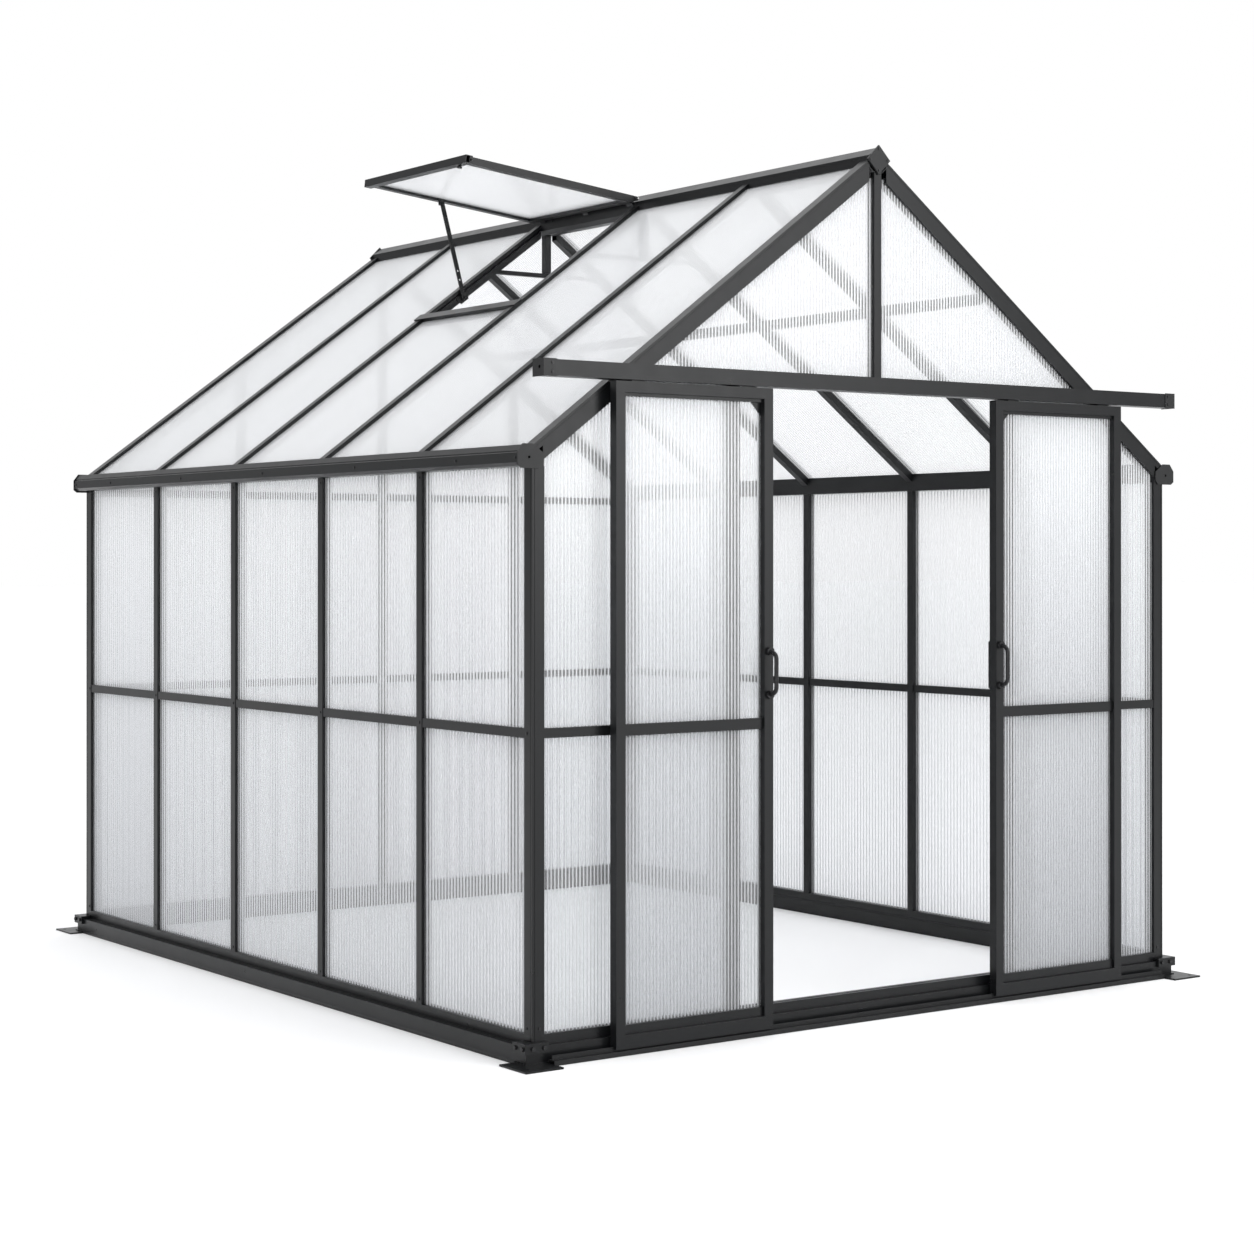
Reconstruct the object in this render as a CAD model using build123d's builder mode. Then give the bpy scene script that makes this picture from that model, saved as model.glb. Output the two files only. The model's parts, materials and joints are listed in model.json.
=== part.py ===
from build123d import *
import math
import os

os.makedirs("parts", exist_ok=True)

# Walk-in greenhouse with twin-wall glazing, two sliding doors and a roof vent.
# Millimetres, +Z up.  Origin: middle of the footprint, on the ground.
# Front gable with the doors at -Y, ridge along Y, roof vent in the -X slope.

# ---------------------------------------------------------------- main sizes
HALF_W = 1250.0          # wall plane of the two long walls
HALF_L = 1500.0          # wall plane of the two gable walls
BAY = 600.0              # spacing of studs and rafters along the long walls
Z_BASE = 52.0            # top of the base beams
Z_SILL = 80.0            # top of the sill channels
Z_RAIL = 901.5           # centre line of the mid rails
Z_EAVE = 1632.0          # underside of the eave beams
EAVE_TOP = 1688.0        # rafter top line at the wall plane
APEX = 2607.0            # where the two rafter top lines cross
Z_LINTEL = 1880.0        # underside of the lintel over the doorway
LINTEL_H = 40.0
SHEET = 6.0              # glazing thickness
BASE_OUT_X = 28.0        # base beams stand this far outside the long walls
BASE_OUT_Y = 13.0        # and this far outside the gable walls
FOOT_IN = 42.0           # corner foot reaches this far inside the wall planes
FOOT_OUT_X = 80.0        # ground plates reach this far outside
FOOT_OUT_Y = 92.0
ANCHOR_X = HALF_W + 58.0  # anchor hole centres
ANCHOR_Y = HALF_L + 64.0
ANCHOR_R = 5.5

# glazing groove measured inwards from the outer face of every profile
G0, G1 = 10.8, 17.2
SHEET0 = 11.0            # outer face of the sheets
POST = 40.0
STUD_W = 30.0
STUD_D = 34.0
RAIL_H = 27.0
RAFTER_D = 40.0
END_RAFTER_D = 52.0

# sliding doors (right-hand leaf; the left one is its mirror image)
DOOR_IN = 445.0
DOOR_OUT = 1003.0
DOOR_BOT = 20.0
DOOR_TOP = 1873.0
DOOR_Y0 = -1548.0        # front face
DOOR_Y1 = -1519.0        # back face
STILE_W = 32.0
DOOR_RAIL_Z = 903.0
DOOR_RAIL_H = 32.0
HEADER_HALF = 1245.0
HEADER_Z0, HEADER_Z1 = 1877.0, 1922.0
HEADER_Y0 = -1553.0
SLOT_Y = -1534.0         # centre line of the hanger slot and the guide fin
WHEEL_R = 12.0
AXLE_R = 3.0
JAMB_X = 550.0
JAMB_W = 40.0

# roof vent
VENT_OPEN = 42.5         # degrees between the closed and the modelled open pose
VENT_LEN = 726.0
PIN_R = 3.0

# ------------------------------------------------------------ slope geometry
SLOPE = math.atan2(APEX - EAVE_TOP, HALF_W)
CS, SN, TN = math.cos(SLOPE), math.sin(SLOPE), math.tan(SLOPE)


def ccw(pts):
    """Points of a closed outline in counter-clockwise order."""
    area = sum(a[0] * b[1] - b[0] * a[1] for a, b in zip(pts, pts[1:] + pts[:1]))
    return pts if area > 0 else pts[::-1]


def wall_plane(wall, s, z):
    """Horizontal plane whose local Y points into the building from a wall."""
    if wall == "left":
        return Plane(origin=(-HALF_W, s, z), x_dir=(0, -1, 0), z_dir=(0, 0, 1))
    if wall == "right":
        return Plane(origin=(HALF_W, s, z), x_dir=(0, 1, 0), z_dir=(0, 0, 1))
    if wall == "front":
        return Plane(origin=(s, -HALF_L, z), x_dir=(1, 0, 0), z_dir=(0, 0, 1))
    return Plane(origin=(s, HALF_L, z), x_dir=(-1, 0, 0), z_dir=(0, 0, 1))


def rail_plane(wall, a, b, z):
    """Upright plane across a wall: local X inwards, local Y up, run from a to b."""
    lo, hi = min(a, b), max(a, b)
    if wall == "left":
        return Plane(origin=(-HALF_W, hi, z), x_dir=(1, 0, 0), z_dir=(0, -1, 0))
    if wall == "right":
        return Plane(origin=(HALF_W, lo, z), x_dir=(-1, 0, 0), z_dir=(0, 1, 0))
    if wall == "front":
        return Plane(origin=(lo, -HALF_L, z), x_dir=(0, 1, 0), z_dir=(1, 0, 0))
    return Plane(origin=(hi, HALF_L, z), x_dir=(0, -1, 0), z_dir=(-1, 0, 0))


def slope_plane(side, d, y):
    """Plane square to a roof slope, d down from the apex: local Y is up out of the roof."""
    sg = -1.0 if side == "left" else 1.0
    return Plane(
        origin=(sg * CS * d, y, APEX - SN * d),
        x_dir=(0, sg, 0),
        z_dir=(sg * CS, 0, -SN),
    )


def slope_point(side, d, h):
    """(x, z) of a point d down the slope and h above the rafter top line."""
    sg = -1.0 if side == "left" else 1.0
    return (sg * (CS * d + SN * h), APEX - SN * d + CS * h)


def under(x, depth):
    """Height of the line that lies `depth` below the rafter top line."""
    return APEX - TN * abs(x) - depth / CS


# ------------------------------------------------------------ profile outlines
def h_profile(half, depth):
    """Mullion with a glazing groove each side: (across, inwards)."""
    w = 5.0
    out = [(-half, 0), (half, 0), (half, G0), (w, G0), (w, G1), (half, G1),
           (half, depth), (-half, depth), (-half, G1), (-w, G1), (-w, G0), (-half, G0)]
    t = 2.0
    hol = [(-half + t, t), (half - t, t), (half - t, G0 - t), (w - t, G0 - t),
           (w - t, G1 + t), (half - t, G1 + t), (half - t, depth - t),
           (-half + t, depth - t), (-half + t, G1 + t), (-w + t, G1 + t),
           (-w + t, G0 - t), (-half + t, G0 - t)]
    return ccw(out), ccw(hol)


STUD, STUD_HOLLOW = h_profile(STUD_W / 2, STUD_D)
GABLE_POST, GABLE_POST_HOLLOW = h_profile(14.0, STUD_D)

# mid rail, (inwards, up), both edges grooved, face 1.5 mm behind the studs' face
RAIL = ccw([(1.5, -13.5), (G0, -13.5), (G0, -5), (G1, -5), (G1, -13.5), (30, -13.5),
            (30, 13.5), (G1, 13.5), (G1, 5), (G0, 5), (G0, 13.5), (1.5, 13.5)])
RAIL_HOLLOW = ccw([(3.5, -11.5), (8.8, -11.5), (8.8, -3), (19.2, -3), (19.2, -11.5),
                   (28, -11.5), (28, 11.5), (19.2, 11.5), (19.2, 3), (8.8, 3),
                   (8.8, 11.5), (3.5, 11.5)])

# sill channel, (inwards, up) from the top of the base beam
SILL = ccw([(0, 0), (STUD_D, 0), (STUD_D, 28), (G1, 28), (G1, 20), (G0, 20), (G0, 28), (0, 28)])
SILL_HOLLOW = ccw([(2, 2), (32, 2), (32, 26), (19.2, 26), (19.2, 18), (8.8, 18), (8.8, 26), (2, 26)])

# corner post, (x, y) inwards from its outer corner; shallow reveal lines by the corner
CORNER = ccw([(0, 0), (7, 0), (7, 1), (8.6, 1), (8.6, 0), (40, 0), (40, G0), (30, G0), (30, G1),
              (40, G1), (40, 40), (G1, 40), (G1, 30), (G0, 30), (G0, 40), (0, 40),
              (0, 8.6), (1, 8.6), (1, 7), (0, 7)])
CORNER_HOLLOW = ccw([(3, 3), (38, 3), (38, 8.8), (28, 8.8), (28, 19.2), (38, 19.2), (38, 38),
                     (19.2, 38), (19.2, 28), (8.8, 28), (8.8, 38), (3, 38)])

# ------------------------------------------------------------------ base beams
BEAM_X = HALF_W - FOOT_IN     # where the beams stop against the corner feet
BEAM_Y = HALF_L - FOOT_IN


def base_profile(out, lip):
    """Base beam section (inwards, up) with a drip lip at its foot."""
    prof = ccw([(-out - lip, 0), (36, 0), (36, Z_BASE), (-out, Z_BASE), (-out, 9), (-out - lip, 6)])
    hol = ccw([(-out + 2.5, 2.5), (33.5, 2.5), (33.5, Z_BASE - 2.5), (-out + 2.5, Z_BASE - 2.5)])
    return prof, hol


SIDE_BASE, SIDE_BASE_HOLLOW = base_profile(BASE_OUT_X, 4)
END_BASE, END_BASE_HOLLOW = base_profile(BASE_OUT_Y, 3)

with BuildPart() as base_beams:
    with BuildSketch(rail_plane("left", -BEAM_Y, BEAM_Y, 0), rail_plane("right", -BEAM_Y, BEAM_Y, 0)):
        Polygon(*SIDE_BASE, align=None)
        Polygon(*SIDE_BASE_HOLLOW, align=None, mode=Mode.SUBTRACT)
    extrude(amount=2 * BEAM_Y)
    with BuildSketch(rail_plane("front", -BEAM_X, BEAM_X, 0), rail_plane("rear", -BEAM_X, BEAM_X, 0)):
        Polygon(*END_BASE, align=None)
        Polygon(*END_BASE_HOLLOW, align=None, mode=Mode.SUBTRACT)
    extrude(amount=2 * BEAM_X)

# ----------------------------------------------------------------- corner feet
with BuildPart() as corner_feet:
    # one foot at the +X +Y corner, then mirrored to the other three corners
    with BuildSketch(Plane.XY):
        with BuildLine():
            Polyline(
                (HALF_W - FOOT_IN, HALF_L - FOOT_IN),
                (HALF_W + FOOT_OUT_X, HALF_L - FOOT_IN),
                (HALF_W + FOOT_OUT_X, HALF_L + FOOT_OUT_Y),
                (HALF_W - FOOT_IN, HALF_L + FOOT_OUT_Y),
                close=True,
            )
        make_face()
        with Locations((ANCHOR_X, ANCHOR_Y)):
            Circle(ANCHOR_R, mode=Mode.SUBTRACT)
    extrude(amount=5)
    with BuildSketch(Plane.XY.offset(5)):
        with Locations((HALF_W + (BASE_OUT_X - FOOT_IN) / 2, HALF_L + (BASE_OUT_Y - FOOT_IN) / 2)):
            Rectangle(BASE_OUT_X + FOOT_IN, BASE_OUT_Y + FOOT_IN)
    extrude(amount=Z_BASE - 5)
    # collar that wraps the outside of the foot, above the plain box
    with BuildSketch(Plane.XY.offset(34)):
        with BuildLine():
            Polyline(
                (HALF_W - FOOT_IN, HALF_L + 2),
                (HALF_W + 2, HALF_L + 2),
                (HALF_W + 2, HALF_L - FOOT_IN),
                (HALF_W + BASE_OUT_X + 9, HALF_L - FOOT_IN),
                (HALF_W + BASE_OUT_X + 9, HALF_L + BASE_OUT_Y + 9),
                (HALF_W - FOOT_IN, HALF_L + BASE_OUT_Y + 9),
                close=True,
            )
        make_face()
    extrude(amount=28)
    # stiffening rib round the upright box where it meets the plate
    with BuildSketch(Plane.XY.offset(5)):
        with BuildLine():
            Polyline(
                (HALF_W - FOOT_IN, HALF_L + BASE_OUT_Y),
                (HALF_W + BASE_OUT_X, HALF_L + BASE_OUT_Y),
                (HALF_W + BASE_OUT_X, HALF_L - FOOT_IN),
                (HALF_W + BASE_OUT_X + 6, HALF_L - FOOT_IN),
                (HALF_W + BASE_OUT_X + 6, HALF_L + BASE_OUT_Y + 6),
                (HALF_W - FOOT_IN, HALF_L + BASE_OUT_Y + 6),
                close=True,
            )
        make_face()
    extrude(amount=3)
    mirror(about=Plane.YZ)
    mirror(about=Plane.XZ)

# --------------------------------------------------------------- sill channels
with BuildPart() as sill_channels:
    with BuildSketch(
        rail_plane("left", -HALF_L + POST, HALF_L - POST, Z_BASE),
        rail_plane("right", -HALF_L + POST, HALF_L - POST, Z_BASE),
    ):
        Polygon(*SILL, align=None)
        Polygon(*SILL_HOLLOW, align=None, mode=Mode.SUBTRACT)
    extrude(amount=2 * (HALF_L - POST))
    with BuildSketch(
        rail_plane("front", -HALF_W + POST, HALF_W - POST, Z_BASE),
        rail_plane("rear", -HALF_W + POST, HALF_W - POST, Z_BASE),
    ):
        Polygon(*SILL, align=None)
        Polygon(*SILL_HOLLOW, align=None, mode=Mode.SUBTRACT)
    extrude(amount=2 * (HALF_W - POST))

# ---------------------------------------------------------------- corner posts
with BuildPart() as corner_posts:
    with BuildSketch(Plane(origin=(-HALF_W, -HALF_L, Z_BASE), x_dir=(1, 0, 0), z_dir=(0, 0, 1))):
        Polygon(*CORNER, align=None)
        Polygon(*CORNER_HOLLOW, align=None, mode=Mode.SUBTRACT)
    extrude(amount=Z_EAVE - Z_BASE)
    mirror(about=Plane.YZ)
    mirror(about=Plane.XZ)

# ----------------------------------------------------------------------- studs
STUD_Y = [-900.0, -300.0, 300.0, 900.0]
REAR_X = [-625.0, 0.0, 625.0]

with BuildPart() as left_wall_studs:
    with BuildSketch(*[wall_plane("left", y, Z_SILL) for y in STUD_Y]):
        Polygon(*STUD, align=None)
        Polygon(*STUD_HOLLOW, align=None, mode=Mode.SUBTRACT)
    extrude(amount=Z_EAVE - Z_SILL)

with BuildPart() as right_wall_studs:
    with BuildSketch(*[wall_plane("right", y, Z_SILL) for y in STUD_Y]):
        Polygon(*STUD, align=None)
        Polygon(*STUD_HOLLOW, align=None, mode=Mode.SUBTRACT)
    extrude(amount=Z_EAVE - Z_SILL)

# rear studs run up to the end rafters; the middle one up to the ridge beam
with BuildPart() as rear_wall_studs:
    with BuildSketch(*[wall_plane("rear", x, Z_SILL) for x in REAR_X]):
        Polygon(*STUD, align=None)
        Polygon(*STUD_HOLLOW, align=None, mode=Mode.SUBTRACT)
    extrude(amount=2546.0 - Z_SILL)
    with BuildSketch(Plane.XZ):
        Polygon(*ccw([(-1000, under(1000, END_RAFTER_D)), (-34, under(34, END_RAFTER_D)), (-34, 2700), (-1000, 2700)]), align=None)
        Polygon(*ccw([(1000, under(1000, END_RAFTER_D)), (34, under(34, END_RAFTER_D)), (34, 2700), (1000, 2700)]), align=None)
    extrude(amount=1700, both=True, mode=Mode.SUBTRACT)

with BuildPart() as door_jambs:
    half = JAMB_W / 2
    with BuildSketch(wall_plane("front", -JAMB_X, Z_SILL)):
        Polygon(*ccw([(-half, 0), (half, 0), (half, STUD_D), (-half, STUD_D), (-half, G1), (-half + 10, G1),
                      (-half + 10, G0), (-half, G0)]), align=None)
        Polygon(*ccw([(-half + 2, 2), (half - 2, 2), (half - 2, STUD_D - 2), (-half + 2, STUD_D - 2),
                      (-half + 2, G1 + 2), (-half + 12, G1 + 2), (-half + 12, G0 - 2), (-half + 2, G0 - 2)]),
                align=None, mode=Mode.SUBTRACT)
    extrude(amount=Z_LINTEL - Z_SILL)
    mirror(about=Plane.YZ)

# ------------------------------------------------------------------- mid rails
SIDE_BAYS = [(-HALF_L + POST, -915.0), (-885.0, -315.0), (-285.0, 285.0), (315.0, 885.0), (915.0, HALF_L - POST)]
REAR_BAYS = [(-HALF_W + POST, -640.0), (-610.0, -15.0), (15.0, 610.0), (640.0, HALF_W - POST)]

with BuildPart() as left_mid_rails:
    for a, b in SIDE_BAYS:
        with BuildSketch(rail_plane("left", a, b, Z_RAIL)):
            Polygon(*RAIL, align=None)
            Polygon(*RAIL_HOLLOW, align=None, mode=Mode.SUBTRACT)
        extrude(amount=b - a)

with BuildPart() as right_mid_rails:
    for a, b in SIDE_BAYS:
        with BuildSketch(rail_plane("right", a, b, Z_RAIL)):
            Polygon(*RAIL, align=None)
            Polygon(*RAIL_HOLLOW, align=None, mode=Mode.SUBTRACT)
        extrude(amount=b - a)

Z_TIE = 1626.0           # rear tie rails at eave height
with BuildPart() as rear_wall_rails:
    for a, b in REAR_BAYS:
        with BuildSketch(rail_plane("rear", a, b, Z_RAIL), rail_plane("rear", a, b, Z_TIE)):
            Polygon(*RAIL, align=None)
            Polygon(*RAIL_HOLLOW, align=None, mode=Mode.SUBTRACT)
        extrude(amount=b - a)

with BuildPart() as front_mid_rails:
    with BuildSketch(
        rail_plane("front", -HALF_W + POST, -JAMB_X - JAMB_W / 2, Z_RAIL),
        rail_plane("front", JAMB_X + JAMB_W / 2, HALF_W - POST, Z_RAIL),
    ):
        Polygon(*RAIL, align=None)
        Polygon(*RAIL_HOLLOW, align=None, mode=Mode.SUBTRACT)
    extrude(amount=HALF_W - POST - JAMB_X - JAMB_W / 2)

# --------------------------------------------------- eave beams and their caps
SEAT = G1 + 0.2          # glazing seat, below the rafter top line
EAVE = [(1212, Z_EAVE), (1232.8, Z_EAVE), (1232.8, Z_EAVE + 8), (1239.2, Z_EAVE + 8), (1239.2, Z_EAVE),
        (1286, Z_EAVE), (1298, Z_EAVE + 9), (1298, 1668), (1293, 1671), (1293, 1674), (1281, 1690), (1252, 1690),
        (1252, under(1252, SEAT)), (1212, under(1212, SEAT))]
EAVE_HOLLOW = [(1214.5, 1643), (1285, 1643), (1295.5, 1645), (1295.5, 1666.5), (1290.5, 1669.5),
               (1290.5, 1673), (1279.5, 1687.5), (1254.5, 1687.5), (1254.5, under(1254.5, SEAT) - 3.5),
               (1214.5, under(1214.5, SEAT) - 3.5)]

with BuildPart() as eave_beams:
    with BuildSketch(Plane.XZ):
        Polygon(*ccw(EAVE), align=None)
        Polygon(*ccw(EAVE_HOLLOW), align=None, mode=Mode.SUBTRACT)
    extrude(amount=HALF_L, both=True)
    mirror(about=Plane.YZ)

CAP = [(1226, 1626), (1288, 1626), (1300, 1635), (1300, 1670), (1282, 1693), (1250, 1693), (1214, 1668), (1214, 1640)]
with BuildPart() as eave_end_caps:
    with BuildSketch(Plane.XZ.offset(HALF_L)):
        Polygon(*ccw(CAP), align=None)
        with Locations((1262, 1656)):
            Circle(4.0, mode=Mode.SUBTRACT)
    extrude(amount=4)
    mirror(about=Plane.YZ)
    mirror(about=Plane.XZ)

# ----------------------------------------------------------------- front lintel
with BuildPart() as front_lintel:
    with BuildSketch(rail_plane("front", -905, 905, Z_LINTEL)):
        Polygon(*ccw([(0, 0), (G0, 0), (G0, 8), (G1, 8), (G1, 0), (STUD_D, 0), (STUD_D, 40), (G1, 40), (G1, 32),
                      (G0, 32), (G0, 40), (0, 40)]), align=None)
        Polygon(*ccw([(2, 2), (8.8, 2), (8.8, 10), (19.2, 10), (19.2, 2), (32, 2), (32, 38), (19.2, 38), (19.2, 30),
                      (8.8, 30), (8.8, 38), (2, 38)]), align=None, mode=Mode.SUBTRACT)
    extrude(amount=1810)
    with BuildSketch(Plane.XZ):
        for sg in (-1, 1):
            Polygon(*ccw([(sg * 1000, under(1000, END_RAFTER_D)), (sg * 700, under(700, END_RAFTER_D)),
                          (sg * 1000, 2100)]), align=None)
    extrude(amount=1700, both=True, mode=Mode.SUBTRACT)

with BuildPart() as front_gable_post:
    with BuildSketch(wall_plane("front", 0, Z_LINTEL + LINTEL_H)):
        Polygon(*GABLE_POST, align=None)
        Polygon(*GABLE_POST_HOLLOW, align=None, mode=Mode.SUBTRACT)
    extrude(amount=2546.0 - Z_LINTEL - LINTEL_H)

# ----------------------------------------------------------- ridge beam and caps
RIDGE = [(-34, 2560), (-18, 2546), (18, 2546), (34, 2560), (34, 2597), (0, 2622), (-34, 2597)]
with BuildPart() as ridge_beam:
    with BuildSketch(Plane.XZ):
        Polygon(*ccw(RIDGE), align=None)
        Polygon(*ccw([(-31.5, 2561.5), (-17, 2548.5), (17, 2548.5), (31.5, 2561.5), (31.5, 2595.5), (0, 2618.8),
                      (-31.5, 2595.5)]), align=None, mode=Mode.SUBTRACT)
    extrude(amount=HALF_L, both=True)
    # shallow line along both flanks of the beam
    with BuildSketch(Plane.XZ):
        with Locations((-34, 2590), (34, 2590)):
            Rectangle(1.6, 2.4)
    extrude(amount=HALF_L, both=True, mode=Mode.SUBTRACT)

with BuildPart() as ridge_end_caps:
    with BuildSketch(Plane.XZ.offset(HALF_L)):
        with BuildLine():
            Polyline((-45, 2584), (-8, 2547), (-4, 2540), (4, 2540), (8, 2547), (45, 2584), (0, 2629), close=True)
        make_face()
    extrude(amount=7)
    chamfer(faces().sort_by(Axis.Y)[0].edges(), length=1.2)
    # sleeve that saddles the end of the ridge beam
    with BuildSketch(Plane.XZ.offset(HALF_L)):
        Polygon(*ccw([(-40, 2583), (-40, 2588), (0, 2628), (40, 2588), (40, 2583), (34.2, 2583), (34.2, 2597.2),
                      (0, 2622.3), (-34.2, 2597.2), (-34.2, 2583)]), align=None)
    extrude(amount=-52)
    mirror(about=Plane.XZ)

# ---------------------------------------------------------------------- rafters
def rafter_profile(depth):
    out, hol = h_profile(STUD_W / 2, depth)
    return ccw([(u, -v) for u, v in out]), ccw([(u, -v) for u, v in hol])


RAFTER, RAFTER_HOLLOW = rafter_profile(RAFTER_D)
# end rafter, (along the ridge from the gable face, down): grooved for roof and gable sheets
END_RAFTER = [(0, 0), (POST, 0), (POST, -G0), (POST - 10, -G0), (POST - 10, -G1), (POST, -G1), (POST, -END_RAFTER_D),
              (G1, -END_RAFTER_D), (G1, -END_RAFTER_D + 10), (G0, -END_RAFTER_D + 10), (G0, -END_RAFTER_D),
              (0, -END_RAFTER_D), (0, -8.6), (1, -8.6), (1, -7), (0, -7)]
END_RAFTER_HOLLOW = [(3, -2), (POST - 2, -2), (POST - 2, -G0 + 2), (POST - 12, -G0 + 2), (POST - 12, -G1 - 2),
                     (POST - 2, -G1 - 2), (POST - 2, -END_RAFTER_D + 2), (G1 + 2, -END_RAFTER_D + 2),
                     (G1 + 2, -END_RAFTER_D + 12), (G0 - 2, -END_RAFTER_D + 12), (G0 - 2, -END_RAFTER_D + 2),
                     (3, -END_RAFTER_D + 2)]

# outline that the rafters' lower ends are notched to, over the eave beam
EAVE_CUT = [(1400, 1400), (1211.9, 1400), (1211.9, under(1211.9, SEAT - 0.1)), (1251.8, under(1251.8, SEAT - 0.1)),
            (1251.8, 1900), (1400, 1900)]


def slope_cut(side):
    sg = -1.0 if side == "left" else 1.0
    return (ccw([(sg * x, z) for x, z in EAVE_CUT]),
            ccw([(sg * 34.2, 2400), (-sg * 300, 2400), (-sg * 300, 2900), (sg * 34.2, 2900)]))


with BuildPart() as left_roof_rafters:
    with BuildSketch(*[slope_plane("left", 20, y) for y in STUD_Y]):
        Polygon(*RAFTER, align=None)
        Polygon(*RAFTER_HOLLOW, align=None, mode=Mode.SUBTRACT)
    extrude(amount=1600)
    with BuildSketch(Plane.XZ):
        for outline in slope_cut("left"):
            Polygon(*outline, align=None)
    extrude(amount=1700, both=True, mode=Mode.SUBTRACT)

with BuildPart() as right_roof_rafters:
    with BuildSketch(*[slope_plane("right", 20, y) for y in STUD_Y]):
        Polygon(*RAFTER, align=None)
        Polygon(*RAFTER_HOLLOW, align=None, mode=Mode.SUBTRACT)
    extrude(amount=1600)
    with BuildSketch(Plane.XZ):
        for outline in slope_cut("right"):
            Polygon(*outline, align=None)
    extrude(amount=1700, both=True, mode=Mode.SUBTRACT)

with BuildPart() as end_rafters:
    # front left rafter, mirrored to the other three ends; local X of the plane is -Y
    with BuildSketch(slope_plane("left", 20, -HALF_L)):
        Polygon(*ccw([(-q, h) for q, h in END_RAFTER]), align=None)
        Polygon(*ccw([(-q, h) for q, h in END_RAFTER_HOLLOW]), align=None, mode=Mode.SUBTRACT)
    extrude(amount=1600)
    with BuildSketch(Plane.XZ):
        for outline in slope_cut("left"):
            Polygon(*outline, align=None)
    extrude(amount=1700, both=True, mode=Mode.SUBTRACT)
    mirror(about=Plane.YZ)
    mirror(about=Plane.XZ)

# ------------------------------------------------- purlin and trusses in the roof
PURLIN_D = 620.0
with BuildPart() as roof_purlin:
    with BuildSketch(Plane.XZ):
        Polygon(*ccw([slope_point("right", PURLIN_D + a, h) for a, h in
                      ((-11, -RAFTER_D - 0.05), (11, -RAFTER_D - 0.05), (11, -RAFTER_D - 28), (-11, -RAFTER_D - 28))]), align=None)
        Polygon(*ccw([slope_point("right", PURLIN_D + a, h) for a, h in
                      ((-9, -RAFTER_D - 2), (9, -RAFTER_D - 2), (9, -RAFTER_D - 26), (-9, -RAFTER_D - 26))]), align=None, mode=Mode.SUBTRACT)
    extrude(amount=HALF_L - POST - 0.2, both=True)

Z_COLLAR = 2402.0
COLLAR_H = 15.0
TRUSS_Y = [-300.0, 300.0]
with BuildPart() as truss_collar_ties:
    with BuildSketch(*[Plane(origin=(-400, y, Z_COLLAR), x_dir=(0, 1, 0), z_dir=(1, 0, 0)) for y in TRUSS_Y]):
        Rectangle(16, COLLAR_H)
        Rectangle(12, COLLAR_H - 4, mode=Mode.SUBTRACT)
    extrude(amount=800)
    with BuildSketch(Plane.XZ):
        for sg in (-1, 1):
            Polygon(*ccw([(sg * 500, under(500, RAFTER_D)), (sg * 50, under(50, RAFTER_D)), (sg * 500, 2600)]), align=None)
    extrude(amount=1700, both=True, mode=Mode.SUBTRACT)

with BuildPart() as truss_king_posts:
    with BuildSketch(*[Plane(origin=(0, y, Z_COLLAR + COLLAR_H / 2), x_dir=(1, 0, 0), z_dir=(0, 0, 1)) for y in TRUSS_Y]):
        Rectangle(24, 24)
        Rectangle(20, 20, mode=Mode.SUBTRACT)
    extrude(amount=2546.0 - Z_COLLAR - COLLAR_H / 2)

# ------------------------------------------------ lower bar of the vent opening
VENT_BAR_D = 652.0
with BuildPart() as vent_opening_bar:
    with BuildSketch(Plane.XZ.offset(-284.8)):
        Polygon(*ccw([slope_point("left", VENT_BAR_D + a, h) for a, h in
                      ((-12, 0), (12, 0), (12, -G0), (2, -G0), (2, -G1), (12, -G1), (12, -34), (-12, -34))]), align=None)
    extrude(amount=569.6)
    with BuildSketch(Plane.XZ.offset(-322)):
        Polygon(*ccw([slope_point("left", VENT_BAR_D + a, h) for a, h in ((-16, 0.2), (18, 0.2), (18, 5.2), (-16, 5.2))]), align=None)
    extrude(amount=644)
    with BuildSketch(Plane.XZ.offset(-284.8)):
        Polygon(*ccw([slope_point("left", VENT_BAR_D + a, h) for a, h in ((-12, -0.5), (12, -0.5), (12, 1), (-12, 1))]), align=None)
    extrude(amount=569.6)

# --------------------------------------------------------------- glazing sheets
SIDE_SHEETS_Y = [(-HALF_L + 30.6, -905.6), (-894.4, -305.6), (-294.4, 294.4), (305.6, 894.4), (905.6, HALF_L - 30.6)]
Z_LOW = (72.6, Z_RAIL - 5.6)
Z_UP = (Z_RAIL + 5.6, Z_EAVE + 7.4)

with BuildPart() as left_wall_panels:
    with BuildSketch(Plane.YZ.offset(-HALF_W + SHEET0)):
        for a, b in SIDE_SHEETS_Y:
            for lo, hi in (Z_LOW, Z_UP):
                with Locations(((a + b) / 2, (lo + hi) / 2)):
                    Rectangle(b - a, hi - lo)
    extrude(amount=SHEET)

with BuildPart() as right_wall_panels:
    with BuildSketch(Plane.YZ.offset(HALF_W - SHEET0 - SHEET)):
        for a, b in SIDE_SHEETS_Y:
            for lo, hi in (Z_LOW, Z_UP):
                with Locations(((a + b) / 2, (lo + hi) / 2)):
                    Rectangle(b - a, hi - lo)
    extrude(amount=SHEET)

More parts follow.
